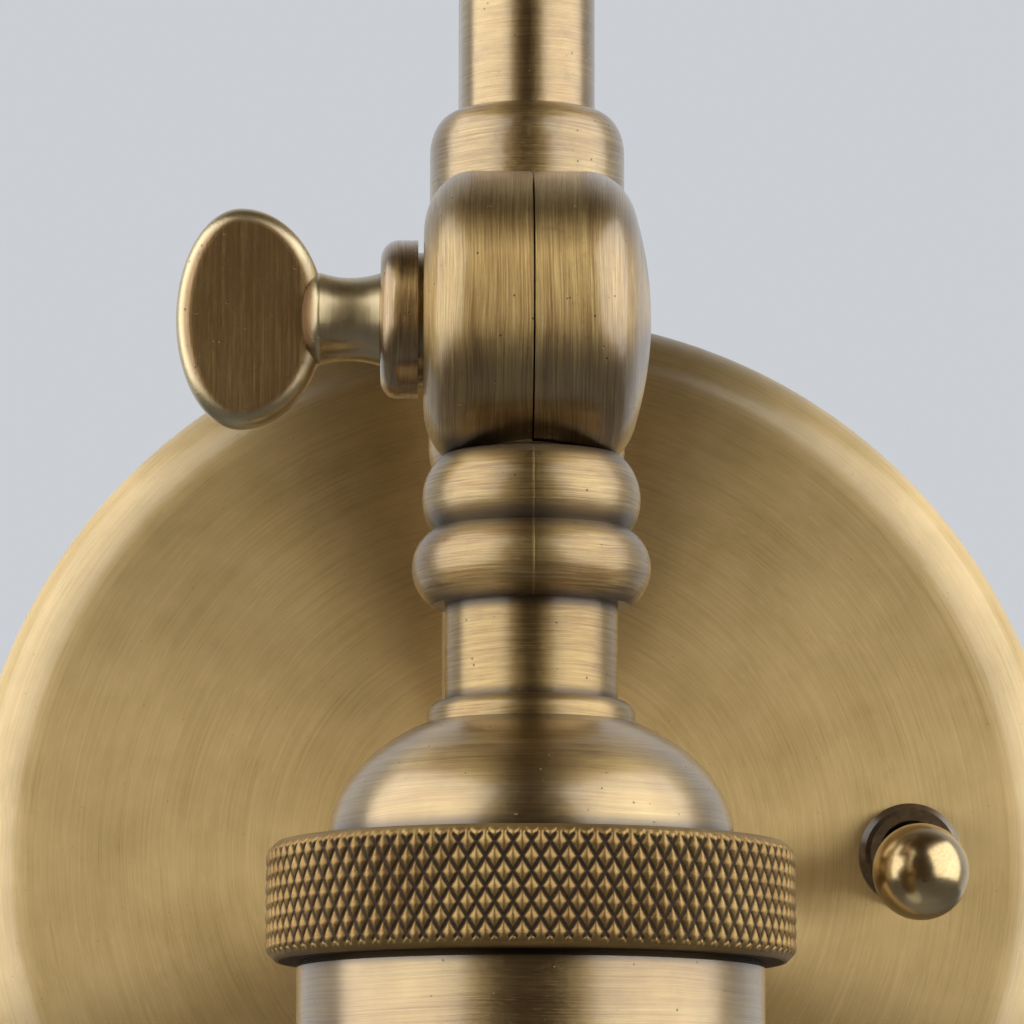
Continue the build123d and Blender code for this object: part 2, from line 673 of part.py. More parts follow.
def head_collar_half():
    half = collar_half(1, -COLLAR_SHORT, COLLAR_LONG, TUBE_R + FIT_GAP)
    groove_low = snap_ring_low() - HEAD_Z - 0.1
    half -= Pos(0, ARM_PITCH, 0) * sleeve(TUBE_R + 1.1, TUBE_R - 1, groove_low, groove_low + 1.4)
    return HEAD_PLACE * half


def elbow_collar_half():
    half = collar_half(-1, -COLLAR_LONG, COLLAR_SHORT, TUBE_R)
    half -= elbow_grub_place() * rod(GRUB_R, 0, 2 * COLLAR_R)
    return ELBOW_PLACE * half


def elbow_grub_place():
    """The grub screw that fixes the elbow's collar enters from the room side."""
    return Pos(0, -ARM_PITCH, -ELBOW_GRUB_DROP) * Rot(90, 0, 0)


def friction_disc():
    """Thin fibre disc in the split between the two halves."""
    return TO_X * sleeve(BARREL_R - 1.0, THREAD_R + CLEARANCE, -HALF_SPLIT, HALF_SPLIT)


def clamp_washer():
    """Thick washer under the thumb screw, with a narrow step against the barrel."""
    outer = WASHER_R - WASHER_EDGE_R
    body = lathe(
        Line((THREAD_R, -WASHER_IN_X), (WASHER_R, -WASHER_IN_X)),
        Line((WASHER_R, -WASHER_IN_X), (WASHER_R, -WASHER_OUT_X + WASHER_EDGE_R)),
        CenterArc((outer, -WASHER_OUT_X + WASHER_EDGE_R), WASHER_EDGE_R, 0, -90),
        Line((outer, -WASHER_OUT_X), (THREAD_R, -WASHER_OUT_X)),
        Line((THREAD_R, -WASHER_OUT_X), (THREAD_R, -WASHER_IN_X)),
    )
    step = sleeve(WASHER_R - 1.0, THREAD_R, -WASHER_IN_X, -LEFT_FACE_X)
    return TO_X * (body + step)


def thumb_screw():
    """Threaded shank, waisted stem with a round end, and an egg-shaped paddle, in one piece."""
    start = -(WASHER_OUT_X + FIT_GAP)
    end = -THUMB_STEM_END
    tip = end - THUMB_STEM_CROWN
    stem = lathe(
        Line((0, start), (THUMB_STEM_FLARE_R, start)),
        ThreePointArc(
            (THUMB_STEM_FLARE_R, start), (THUMB_STEM_R, (start + end) / 2), (THUMB_STEM_FLARE_R, end),
        ),
        EllipticalCenterArc((0, end), THUMB_STEM_FLARE_R, THUMB_STEM_CROWN, start_angle=270, arc_size=90),
        Line((0, tip), (0, start)),
    )
    outer = EllipticalCenterArc(
        (-PADDLE_CENTRE_X, 0), PADDLE_OUT, PADDLE_HALF_HEIGHT, start_angle=90, arc_size=180,
    )
    inner = EllipticalCenterArc(
        (-PADDLE_CENTRE_X, 0), PADDLE_IN, PADDLE_HALF_HEIGHT, start_angle=270, arc_size=180,
    )
    paddle = extrude(Plane.XZ * make_face([outer, inner]), PADDLE_THICK / 2, both=True)
    paddle = fillet(paddle.edges(), PADDLE_EDGE_R)
    shank = rod(SCREW_R, start - 2.0, SCREW_TIP_X)
    return TO_X * (stem + shank) + paddle


# ---- lamp holder --------------------------------------------------------------------------
def neck_pipe():
    top = BEAD_2_LOW + STEM_SOCKET_DEPTH
    outer = rod(PIPE_R, CAP_TOP, top) + rod(PIPE_SPIGOT_R, PIPE_SPIGOT_LOW, top)
    return outer - rod(PIPE_BORE_R, PIPE_SPIGOT_LOW - 1, top + 1)


def cap_collar():
    """Small quarter-round ring where the pipe meets the cap."""
    low = CAP_TOP
    top = CAP_TOP + CAP_COLLAR_HEIGHT
    run = CAP_COLLAR_R - PIPE_R - 0.2
    return lathe(
        Line((PIPE_R, low), (CAP_COLLAR_R, low)),
        Line((CAP_COLLAR_R, low), (CAP_COLLAR_R, top - run)),
        CenterArc((CAP_COLLAR_R - run, top - run), run, 0, 90),
        Line((CAP_COLLAR_R - run, top), (PIPE_R, top)),
        Line((PIPE_R, top), (PIPE_R, low)),
    )


def socket_cap():
    """Domed cap with a flange at its rim, which the knurled ring clamps."""
    inner_r = CAP_R - CAP_WALL
    inner_height = CAP_HEIGHT - CAP_WALL
    outer_deg = degrees(asin((CAP_TOP - CAP_BASE) / CAP_HEIGHT))
    inner_deg = degrees(asin((CAP_TOP - CAP_WALL - CAP_BASE) / inner_height))
    outer = EllipticalCenterArc((0, CAP_BASE), CAP_R, CAP_HEIGHT, start_angle=0, arc_size=outer_deg)
    inner = EllipticalCenterArc((0, CAP_BASE), inner_r, inner_height, start_angle=0, arc_size=inner_deg)
    top_outer = outer @ 1
    top_inner = inner @ 1
    return lathe(
        outer,
        Line(top_outer, (PIPE_SPIGOT_R, top_outer.Y)),
        Line((PIPE_SPIGOT_R, top_outer.Y), (PIPE_SPIGOT_R, top_inner.Y)),
        Line((PIPE_SPIGOT_R, top_inner.Y), top_inner),
        inner,
        Line((inner_r, CAP_BASE), (inner_r, CAP_FLANGE_LOW)),
        Line((inner_r, CAP_FLANGE_LOW), (CAP_FLANGE_R, CAP_FLANGE_LOW)),
        Line((CAP_FLANGE_R, CAP_FLANGE_LOW), (CAP_FLANGE_R, CAP_FLANGE_TOP)),
        Line((CAP_FLANGE_R, CAP_FLANGE_TOP), (CAP_R, CAP_FLANGE_TOP)),
        Line((CAP_R, CAP_FLANGE_TOP), (CAP_R, CAP_BASE)),
    )


def knurled_ring():
    """Union ring: its lip pulls the cap's flange down on the cup's neck."""
    lip_r = CAP_R + CLEARANCE
    return turned(
        (lip_r, RING_TOP), (RING_R - RING_CHAMFER, RING_TOP), (RING_R, RING_TOP - RING_CHAMFER),
        (RING_R, RING_LOW + RING_CHAMFER), (RING_R - RING_CHAMFER, RING_LOW),
        (CUP_NECK_R, RING_LOW), (CUP_NECK_R, CAP_FLANGE_TOP), (lip_r, CAP_FLANGE_TOP),
    )


def socket_cup():
    """Straight cup: a neck inside the ring, a shoulder under it, and a round-edged mouth."""
    inner = CUP_R - CUP_WALL
    ledge = CAP_FLANGE_LOW - HOLDER_RIM_HEIGHT
    ledge_r = HOLDER_R + FIT_GAP
    return turned(
        (CUP_NECK_INNER_R, CAP_FLANGE_LOW), (CUP_NECK_R, CAP_FLANGE_LOW), (CUP_NECK_R, RING_LOW),
        (CUP_R - CUP_EDGE_R, RING_LOW), (CUP_R, RING_LOW - CUP_EDGE_R),
        (CUP_R, CUP_LOW + CUP_EDGE_R), (CUP_R - CUP_EDGE_R, CUP_LOW),
        (inner, CUP_LOW), (inner, RING_LOW - CUP_WALL), (CUP_NECK_INNER_R, RING_LOW - CUP_WALL),
        (CUP_NECK_INNER_R, ledge - CUP_WALL), (ledge_r, ledge - CUP_WALL),
        (ledge_r, ledge), (CUP_NECK_INNER_R, ledge),
    )


def socket_insert():
    """Porcelain body: a rim on the cup's ledge, a floor with terminals, a skirt round the shell."""
    top = CAP_FLANGE_LOW
    rim_r = CUP_NECK_INNER_R - FIT_GAP
    rim_low = top - HOLDER_RIM_HEIGHT
    body = turned(
        (0, top), (rim_r, top), (rim_r, rim_low), (HOLDER_R, rim_low), (HOLDER_R, HOLDER_MOUTH),
        (SHELL_R, HOLDER_MOUTH), (SHELL_R, HOLDER_FLOOR), (0, HOLDER_FLOOR),
    )
    body -= rod(CONTACT_RIVET_R, HOLDER_FLOOR - 1, top + 1)
    for side in (-1, 1):
        hole = rod(HOLDER_SCREW_R, top - HOLDER_SCREW_DEPTH, top + 1)
        body -= Pos(side * HOLDER_SCREW_X, 0, 0) * hole
    return body


def terminal_screws():
    top = CAP_FLANGE_LOW
    screw = rod(HOLDER_SCREW_R, top - HOLDER_SCREW_DEPTH, top + 0.4)
    screw -= Pos(0, 0, top - 0.5) * Box(3 * HOLDER_SCREW_R, 0.6, 2.0, align=LOW)
    return Compound(children=[Pos(side * HOLDER_SCREW_X, 0, 0) * screw for side in (-1, 1)])


def screw_shell():
    """Threaded sleeve for the bulb, drawn as a plain tube at the thread's crest."""
    return sleeve(SHELL_R, SHELL_R - SHELL_WALL, HOLDER_MOUTH, HOLDER_FLOOR)


def centre_contact():
    """Rivet through the porcelain floor with a sprung tongue that meets the bulb."""
    pad_r, pad_thick = CONTACT_PAD
    rivet = rod(CONTACT_RIVET_R, HOLDER_FLOOR, CAP_FLANGE_LOW + pad_thick)
    return rivet + rod(pad_r, HOLDER_FLOOR - pad_thick, HOLDER_FLOOR)


def cap_lock_nut():
    top = CAP_TOP - CAP_WALL
    return hex_nut(NUT_CORNER_R, PIPE_SPIGOT_R, top - NUT_HEIGHT, NUT_HEIGHT)


# ---- bulb ---------------------------------------------------------------------------------
def bulb_cap():
    """Threaded brass cap with rolled threads."""
    top = BULB_CAP_TOP
    shoulder, lip = BULB_CAP_SHOULDER
    points = [(BULB_CAP_CORE_R - BULB_CAP_TAPER + lip, top)]
    for turn in range(BULB_THREAD_TURNS):
        root = top - shoulder - turn * BULB_THREAD_PITCH
        points += [(BULB_CAP_CORE_R, root), (BULB_CAP_R, root - BULB_THREAD_PITCH / 2)]
    points += [
        (BULB_CAP_CORE_R, BULB_CAP_LOW), (BULB_NECK_R, BULB_CAP_LOW),
        (BULB_NECK_R, top - shoulder), (BULB_CAP_CORE_R - BULB_CAP_TAPER, top - BULB_CAP_WALL),
    ]
    return turned(*points)


def bulb_contact():
    """Glass insulator with the centre tip, closing the cap's end."""
    seat = BULB_CAP_CORE_R - BULB_CAP_TAPER
    low = BULB_CAP_TOP - BULB_CAP_WALL
    return turned(
        (0, BULB_TIP_TOP), (BULB_TIP_R, BULB_TIP_TOP), (BULB_TIP_R, BULB_TIP_TOP - 0.8),
        (seat, low), (0, low),
    )


def glass_outline(offset):
    """Teardrop outline of the bulb, from its neck down to the tip."""
    widest = BULB_CAP_LOW - BULB_GLASS_LENGTH + BULB_R
    flare, drop = BULB_NECK_FLARE
    neck_r = BULB_NECK_R - offset
    side = Spline(
        (neck_r, BULB_CAP_LOW), (neck_r + flare, BULB_CAP_LOW - drop), (BULB_R - offset, widest),
        tangents=[(0.0, -1.0), (0.0, -1.0)],
    )
    neck = Line((neck_r, BULB_NECK_TOP), (neck_r, BULB_CAP_LOW))
    end = CenterArc((0, widest), BULB_R - offset, 0, -90)
    return (neck, side, end), (0, widest - BULB_R + offset), (neck_r, BULB_NECK_TOP)


def bulb_glass():
    outside, tip, rim = glass_outline(0.0)
    inside, tip_in, rim_in = glass_outline(BULB_GLASS_WALL)
    return lathe(*outside, Line(tip, tip_in), *inside, Line(rim_in, rim))


def bulb_stem():
    """Glass stem that carries the filaments."""
    top = BULB_NECK_TOP
    wide = BULB_NECK_R - BULB_GLASS_WALL
    slim, drop = BULB_STEM_NECK
    hub_low = top - FILAMENT_DROP - BULB_NECK_DEPTH
    return turned(
        (0, top), (wide, top), (wide, top - 1.0), (slim, top - drop),
        (BULB_STEM_TIP_R, hub_low), (0, hub_low - BULB_STEM_TIP_R),
    )


def bulb_filaments():
    """Straight lit rods, spread a little towards their lower ends, on a small wire hub."""
    top = BULB_CAP_LOW - FILAMENT_DROP
    lean = Rot(0, -FILAMENT_LEAN_DEG, 0)
    one = Pos(FILAMENT_CIRCLE_R, 0, top) * lean * rod(FILAMENT_R, -FILAMENT_LENGTH, 0)
    hub = Pos(0, 0, top - 2.0) * sleeve(FILAMENT_CIRCLE_R + 0.8, FILAMENT_CIRCLE_R - 0.7, 0, 0.8)
    for index in range(FILAMENT_COUNT):
        hub += Rot(0, 0, 360 * (index + 0.5) / FILAMENT_COUNT) * one
    return hub


# ---- the whole lamp -----------------------------------------------------------------------
def head_wires():
    low = CAP_FLANGE_LOW + 1.0
    return HEAD_PLACE * wire_pair(low, BEAD_1_TOP - 4.0, 0)


def build():
    block, block_screws = terminal_block()
    pieces = {
        "wall_bracket": wall_bracket(),
        "threaded_nipple": threaded_nipple(),
        "bracket_lock_nut": TO_ROOM * hex_nut(NUT_CORNER_R, NIPPLE_R, BRACKET_THICK, NUT_HEIGHT),
        "backplate": backplate(),
        "backplate_nut": TO_ROOM * hex_nut(NUT_CORNER_R, NIPPLE_R, PLATE_DEPTH, NUT_HEIGHT),
        "swivel_stop_pin": swivel_stop_pin(),
        "hub_retaining_ring": retaining_ring(),
        "terminal_block": block,
        "terminal_block_screws": block_screws,
        "earth_screw": earth_screw(),
        "switch_body": switch_body(),
        "switch_bush": switch_bush(),
        "switch_nut": switch_nut(),
        "switch_dolly": switch_dolly(),
        "swivel_hub": swivel_hub(),
        "hub_friction_washer": hub_friction_washer(),
        "hub_plug": hub_plug(),
        "arm_1_tube": arm_1_tube(),
        "arm_1_grub_screw": grub_place() * grub_screw(TUBE_R, HUB_COLLAR_R),
        "arm_1_wires": wire_pair(HUB_POCKET_R + 3.0, ELBOW_Z + BEAD_2_LOW, ARM_1_Y),
        "elbow_stem_half": ELBOW_PLACE * stem_half(TUBE_R),
        "elbow_friction_disc": ELBOW_PLACE * friction_disc(),
        "elbow_clamp_washer": ELBOW_PLACE * clamp_washer(),
        "elbow_collar_half": elbow_collar_half(),
        "elbow_thumb_screw": ELBOW_PLACE * thumb_screw(),
        "arm_2_tube": arm_2_tube(),
        "arm_2_top_cap": arm_2_top_cap(),
        "arm_2_bottom_cap": arm_2_bottom_cap(),
        "arm_2_grub_screw": ELBOW_PLACE * elbow_grub_place() * grub_screw(TUBE_R, COLLAR_R),
        "swivel_snap_ring": swivel_snap_ring(),
        "arm_2_wires": wire_pair(HEAD_Z + 5.0, ELBOW_Z - 5.0, ARM_2_Y),
        "head_collar_half": head_collar_half(),
        "head_stem_half": HEAD_PLACE * stem_half(PIPE_R),
        "head_friction_disc": HEAD_PLACE * friction_disc(),
        "head_clamp_washer": HEAD_PLACE * clamp_washer(),
        "head_thumb_screw": HEAD_PLACE * thumb_screw(),
        "neck_pipe": HEAD_PLACE * neck_pipe(),
        "cap_collar": HEAD_PLACE * cap_collar(),
        "socket_cap": HEAD_PLACE * socket_cap(),
        "cap_lock_nut": HEAD_PLACE * cap_lock_nut(),
        "knurled_ring": HEAD_PLACE * knurled_ring(),
        "socket_cup": HEAD_PLACE * socket_cup(),
        "socket_insert": HEAD_PLACE * socket_insert(),
        "screw_shell": HEAD_PLACE * screw_shell(),
        "centre_contact": HEAD_PLACE * centre_contact(),
        "terminal_screws": HEAD_PLACE * terminal_screws(),
        "head_wires": head_wires(),
        "bulb_cap": HEAD_PLACE * bulb_cap(),
        "bulb_contact": HEAD_PLACE * bulb_contact(),
        "bulb_glass": HEAD_PLACE * bulb_glass(),
        "bulb_stem": HEAD_PLACE * bulb_stem(),
        "bulb_filaments": HEAD_PLACE * bulb_filaments(),
    }
    return pieces


os.makedirs("parts", exist_ok=True)
for piece_name, piece in build().items():
    save(piece, piece_name)
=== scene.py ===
import bmesh
import bpy
import math
from mathutils import Matrix, Vector

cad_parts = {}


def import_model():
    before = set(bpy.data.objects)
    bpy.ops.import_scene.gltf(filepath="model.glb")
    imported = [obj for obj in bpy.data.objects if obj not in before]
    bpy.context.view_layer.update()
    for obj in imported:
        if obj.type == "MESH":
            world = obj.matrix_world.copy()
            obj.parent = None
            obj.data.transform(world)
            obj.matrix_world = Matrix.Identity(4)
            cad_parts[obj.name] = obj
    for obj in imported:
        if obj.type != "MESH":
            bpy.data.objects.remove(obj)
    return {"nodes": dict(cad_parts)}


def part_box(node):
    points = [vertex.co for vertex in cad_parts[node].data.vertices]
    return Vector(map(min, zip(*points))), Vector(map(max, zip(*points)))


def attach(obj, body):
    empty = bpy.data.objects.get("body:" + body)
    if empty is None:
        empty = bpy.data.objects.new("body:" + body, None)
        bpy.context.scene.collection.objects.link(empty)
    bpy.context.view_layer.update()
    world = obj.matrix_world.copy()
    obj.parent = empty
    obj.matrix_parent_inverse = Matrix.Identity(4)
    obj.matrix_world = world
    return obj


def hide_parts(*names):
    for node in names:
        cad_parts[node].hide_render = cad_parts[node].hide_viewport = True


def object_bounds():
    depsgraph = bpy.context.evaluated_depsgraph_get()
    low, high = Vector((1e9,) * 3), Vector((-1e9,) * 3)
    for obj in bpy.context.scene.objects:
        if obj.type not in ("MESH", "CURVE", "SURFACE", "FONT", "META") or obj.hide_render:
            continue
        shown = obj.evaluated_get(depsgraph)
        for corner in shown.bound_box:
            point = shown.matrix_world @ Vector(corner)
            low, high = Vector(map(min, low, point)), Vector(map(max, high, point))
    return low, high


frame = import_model()
cad_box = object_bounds()
nodes = frame["nodes"]
MM = 0.001

# ---- centres of the joints, tubes, plate and switch, in millimetres ------------------------------
HEAD = (0.0, -73.2, 38.7)
ELBOW = (0.0, -32.0, 225.0)
ARM_1 = (0.0, -32.0, 0.0)
ARM_2 = (0.0, -52.6, 0.0)
PLATE = (0.0, -20.0, 0.0)
SWITCH = (35.0, -20.0, 0.0)

# sizes read from the frame, in millimetres
ring_low, ring_high = (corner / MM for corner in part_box("knurled_ring"))
RING_R = (ring_high.x - ring_low.x) / 2
CUP_R = (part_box("socket_cup")[1].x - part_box("socket_cup")[0].x) / 2 / MM


# ---- node graphs ----------------------------------------------------------------------------
class Graph:
    """A material's node tree, built from short calls. Numbers, tuples and sockets mix freely."""

    def __init__(self, name):
        self.material = bpy.data.materials.new(name)
        self.material.use_nodes = True
        self.tree = self.material.node_tree
        self.tree.nodes.clear()
        output = self.tree.nodes.new("ShaderNodeOutputMaterial")
        self.shader = self.tree.nodes.new("ShaderNodeBsdfPrincipled")
        self.tree.links.new(self.shader.outputs[0], output.inputs["Surface"])
        place = self.tree.nodes.new("ShaderNodeTexCoord").outputs["Object"]
        self.place = self.vector("SCALE", place, scale=1 / MM)

    def put(self, value, socket):
        if isinstance(value, bpy.types.NodeSocket):
            self.tree.links.new(value, socket)
        else:
            socket.default_value = value

    def set(self, **values):
        for name, value in values.items():
            self.put(value, self.shader.inputs[name.replace("_", " ")])

    def math(self, operation, a, b=0.0, clamp=False):
        node = self.tree.nodes.new("ShaderNodeMath")
        node.operation = operation
        node.use_clamp = clamp
        self.put(a, node.inputs[0])
        self.put(b, node.inputs[1])
        return node.outputs[0]

    def vector(self, operation, a, b=(0.0, 0.0, 0.0), scale=1.0):
        node = self.tree.nodes.new("ShaderNodeVectorMath")
        node.operation = operation
        self.put(a, node.inputs[0])
        if operation == "SCALE":
            self.put(scale, node.inputs["Scale"])
        else:
            self.put(b, node.inputs[1])
        return node.outputs["Value" if operation == "LENGTH" else "Vector"]

    def split(self, vector):
        node = self.tree.nodes.new("ShaderNodeSeparateXYZ")
        self.put(vector, node.inputs[0])
        return node.outputs[0], node.outputs[1], node.outputs[2]

    def join(self, x, y, z):
        node = self.tree.nodes.new("ShaderNodeCombineXYZ")
        for value, socket in zip((x, y, z), node.inputs):
            self.put(value, socket)
        return node.outputs[0]

    def noise(self, vector, scale, detail=2.0, roughness=0.5, fourth=None):
        node = self.tree.nodes.new("ShaderNodeTexNoise")
        self.put(vector, node.inputs["Vector"])
        if fourth is not None:
            node.noise_dimensions = "4D"
            self.put(fourth, node.inputs["W"])
        self.put(scale, node.inputs["Scale"])
        self.put(detail, node.inputs["Detail"])
        self.put(roughness, node.inputs["Roughness"])
        return node.outputs["Fac"]

    def cells(self, vector, scale):
        node = self.tree.nodes.new("ShaderNodeTexVoronoi")
        self.put(vector, node.inputs["Vector"])
        self.put(scale, node.inputs["Scale"])
        return node.outputs["Distance"]

    def ease(self, value, low, high, start=0.0, end=1.0):
        """Smooth step of value from start at low to end at high."""
        node = self.tree.nodes.new("ShaderNodeMapRange")
        node.interpolation_type = "SMOOTHSTEP"
        self.put(value, node.inputs["Value"])
        for name, number in (("From Min", low), ("From Max", high), ("To Min", start), ("To Max", end)):
            self.put(number, node.inputs[name])
        return node.outputs[0]

    def mix(self, factor, a, b, kind="RGBA"):
        node = self.tree.nodes.new("ShaderNodeMix")
        node.data_type = kind
        index = {"FLOAT": 0, "VECTOR": 1, "RGBA": 2}[kind]
        self.put(factor, node.inputs[0])
        self.put(a, node.inputs[2 + 2 * index])
        self.put(b, node.inputs[3 + 2 * index])
        return node.outputs[index]

    def bump(self, height, distance_mm, strength=1.0, normal=None):
        node = self.tree.nodes.new("ShaderNodeBump")
        self.put(height, node.inputs["Height"])
        self.put(strength, node.inputs["Strength"])
        self.put(distance_mm * MM, node.inputs["Distance"])
        if normal is not None:
            self.put(normal, node.inputs["Normal"])
        return node.outputs[0]

    def to_world(self, vector):
        node = self.tree.nodes.new("ShaderNodeVectorTransform")
        node.vector_type = "VECTOR"
        node.convert_from = "OBJECT"
        node.convert_to = "WORLD"
        self.put(vector, node.inputs[0])
        return node.outputs[0]


def tint(r, g, b):
    return (r, g, b, 1.0)


# ---- brass ------------------------------------------------------------------------------------
BRASS_PALE = tint(0.80, 0.70, 0.42)
BRASS_RICH = tint(0.82, 0.61, 0.29)
BRASS_LIGHT = tint(0.615, 0.54, 0.272)
BRASS = tint(0.51, 0.360, 0.140)
BRASS_BROWN = tint(0.225, 0.130, 0.050)
PATINA = tint(0.072, 0.052, 0.037)

# brush lines: how fast the noise runs along and across them, and how far they drift
GRAIN_LONG = 1.7
GRAIN_STRAIGHT = 0.4
GRAIN_ACROSS = 9.0
GRAIN_SWAY = 9.0

# scale of the broad streaks against the fine brush lines
BROAD_LONG = 0.6
BROAD_ACROSS = 0.14

# clear lacquer over the brass
LACQUER_ROUGHNESS = 0.24
LACQUER_IOR = 1.75

# depths of the bumps in millimetres
PIT_DEPTH = 0.06
RIDGE_DEPTH = 0.01


def around_middle(g, value, strength):
    """A 0 to 1 value turned into a swing about zero."""
    return g.math("MULTIPLY", g.math("SUBTRACT", value, 0.5), strength)


def sway(g, local):
    """Slow drift of the brush lines, so that they aren't quite parallel."""
    return around_middle(g, g.noise(local, 0.10, 1.0), GRAIN_SWAY)


def round_grain(g, centre, axis):
    """Brushing that runs round an axis: its stretched coordinates, four in all, and its direction."""
    local = g.vector("SUBTRACT", g.place, centre)
    x, y, z = g.split(local)
    a, b, along = {"X": (y, z, x), "Y": (z, x, y), "Z": (x, y, z)}[axis]
    radius = g.math("SQRT", g.math("ADD", g.math("MULTIPLY", a, a), g.math("MULTIPLY", b, b)))
    unit_a = g.math("DIVIDE", a, g.math("MAXIMUM", radius, 0.01))
    unit_b = g.math("DIVIDE", b, g.math("MAXIMUM", radius, 0.01))
    grain = g.join(
        g.math("MULTIPLY", unit_a, GRAIN_LONG), g.math("MULTIPLY", unit_b, GRAIN_LONG),
        g.math("ADD", g.math("MULTIPLY", along, GRAIN_ACROSS), sway(g, local)),
    )
    turn = {"X": (1.0, 0.0, 0.0), "Y": (0.0, 1.0, 0.0), "Z": (0.0, 0.0, 1.0)}[axis]
    return grain, g.math("MULTIPLY", radius, GRAIN_ACROSS), g.vector("CROSS_PRODUCT", turn, local)


def upright_grain(g, centre):
    """Brushing that runs straight up and down, as round_grain gives it."""
    local = g.vector("SUBTRACT", g.place, centre)
    grain = g.vector("MULTIPLY", local, (GRAIN_ACROSS, GRAIN_ACROSS, GRAIN_STRAIGHT))
    return grain, 0.0, (0.0, 0.0, 1.0)


def brass(
    name, fields, dark=None, rough=0.34, streak=1.0, depth=0.035, pits=1.0, brown=0.7, gloss=0.88,
    ridge=None, wear_and_highlight=None, coat=1.0, light=BRASS_LIGHT,
):
    """Brushed antique brass.

    fields is a list: a grain function, then pairs of mask and grain functions laid over it.
    dark gives how much patina a place holds, ridge a raised line and the rub mask how pale a place
    is painted, for real rubbing and as a painted highlight, each from 0 to 1, as functions of the
    graph. streak and brown scale the contrast and the darkness of the colour, depth is the brush
    lines' bump in millimetres, pits scales the scattered specks, gloss is the anisotropy and coat the
    lacquer.
    """
    g = Graph(name)
    grain, fourth, turn = fields[0](g)
    for mask, field in fields[1:]:
        weight = mask(g)
        other_grain, other_fourth, other_turn = field(g)
        grain = g.mix(weight, grain, other_grain, "VECTOR")
        fourth = g.mix(weight, fourth, other_fourth, "FLOAT")
        turn = g.mix(weight, turn, other_turn, "VECTOR")
    fine = g.noise(grain, 0.75, 4.0, 0.75, fourth)
    broad = g.vector("MULTIPLY", grain, (BROAD_LONG, BROAD_LONG, BROAD_ACROSS))
    wide = g.noise(broad, 1.0, 3.0, 0.6, g.math("MULTIPLY", fourth, BROAD_ACROSS))
    cloud = g.noise(g.place, 0.13, 4.0, 0.6)
    mottle = g.noise(g.place, 0.9, 3.0, 0.6)

    # colour from brown through brass to light, by the streaks and a soft cloud
    tone = around_middle(g, fine, 0.55 * streak)
    tone = g.math("ADD", tone, around_middle(g, wide, 0.25 * streak))
    tone = g.math("ADD", tone, around_middle(g, cloud, 0.22))
    tone = g.math("SUBTRACT", tone, 0.10 * brown)
    colour = g.mix(g.ease(tone, -0.24, 0.08), BRASS_BROWN, BRASS)
    colour = g.mix(g.ease(tone, -0.06, 0.22), colour, light)

    # scattered pits and dark specks
    speck_field = g.cells(g.place, 1.15)
    speck_pick = g.ease(g.noise(g.place, 0.7, 1.0), 0.52, 0.62)
    speck = g.math("MULTIPLY", g.ease(speck_field, 0.13, 0.05), speck_pick)
    speck = g.math("MULTIPLY", speck, pits, clamp=True)

    # patina that the brushing left
    held = g.math("MULTIPLY", g.ease(mottle, 0.56, 0.80), 0.35 * brown)
    if dark is not None:
        edge = around_middle(g, fine, 0.8)
        held = g.math("MAXIMUM", held, g.math("ADD", dark(g), edge, clamp=True))
        held = g.math("MULTIPLY", held, g.ease(dark(g), 0.0, 0.12, 0.35, 1.0))
    held = g.math("MAXIMUM", held, g.math("MULTIPLY", speck, 0.85))
    colour = g.mix(held, colour, PATINA)

    rough_here = g.math("ADD", rough, around_middle(g, wide, 0.25 * streak))
    rough_here = g.math("ADD", rough_here, g.math("MULTIPLY", held, 0.20), clamp=True)

    surface = g.bump(fine, depth, 1.0)
    surface = g.bump(g.math("MULTIPLY", speck, -1.0), PIT_DEPTH, 0.8, surface)
    if ridge is not None:
        line = ridge(g)
        surface = g.bump(line, RIDGE_DEPTH, 1.0, surface)
        colour = g.mix(g.math("MULTIPLY", line, 0.10), colour, light)
    # paint the place pale where the rub mask is set: real rubbing, and a painted highlight along the
    # thumb screws' rims
    if wear_and_highlight is not None:
        rub_and_highlight = wear_and_highlight(g)
        colour = g.mix(rub_and_highlight, colour, BRASS_PALE)
        rough_here = g.math("SUBTRACT", rough_here, g.math("MULTIPLY", rub_and_highlight, 0.06), clamp=True)
    g.set(
        Base_Color=colour, Metallic=1.0, Roughness=rough_here, Normal=surface, Tangent=g.to_world(turn),
        Anisotropic=gloss, Anisotropic_Rotation=0.25,
        Coat_Weight=coat, Coat_Roughness=LACQUER_ROUGHNESS, Coat_IOR=LACQUER_IOR,
    )
    return g.material


def about(centre, axis):
    return lambda g: round_grain(g, centre, axis)


def upright(centre):
    return lambda g: upright_grain(g, centre)


def past(axis, low, high):
    """Mask that grows from 0 at low to 1 at high along one axis, in millimetres; low may be higher."""
    return lambda g: g.ease(g.split(g.place)["XYZ".index(axis)], low, high)


def bands(axis, *spots):
    """Patina that lies at given places along an axis: (place, half width, strength)."""

    def measure(g):
        value = g.split(g.place)["XYZ".index(axis)]
        total = 0.0
        for spot, half, strength in spots:
            away = g.math("ABSOLUTE", g.math("SUBTRACT", value, spot))
            total = g.math("MAXIMUM", total, g.ease(away, half, 0.0, 0.0, strength))
        return total

    return measure


# ---- camera, light and floor --------------------------------------------------------------
BACKDROP = tint(0.60, 0.62, 0.655)
ROOM_LIGHT = tint(0.50, 0.515, 0.545)
ROOM_DARK = tint(0.058, 0.039, 0.017)

# where the world turns from dark to light, and where glossy rays begin to meet the backdrop, as the
# direction's share towards the wall
ROOM_FADE = (-0.15, 0.90)
BEHIND_FADE = (0.20, 0.70)

# floor, in metres, and its glow for rays from the camera and through glass
BACKDROP_GLOW = 0.6
FLOOR_HALF = 6.0
FLOOR_DROP = 2.2

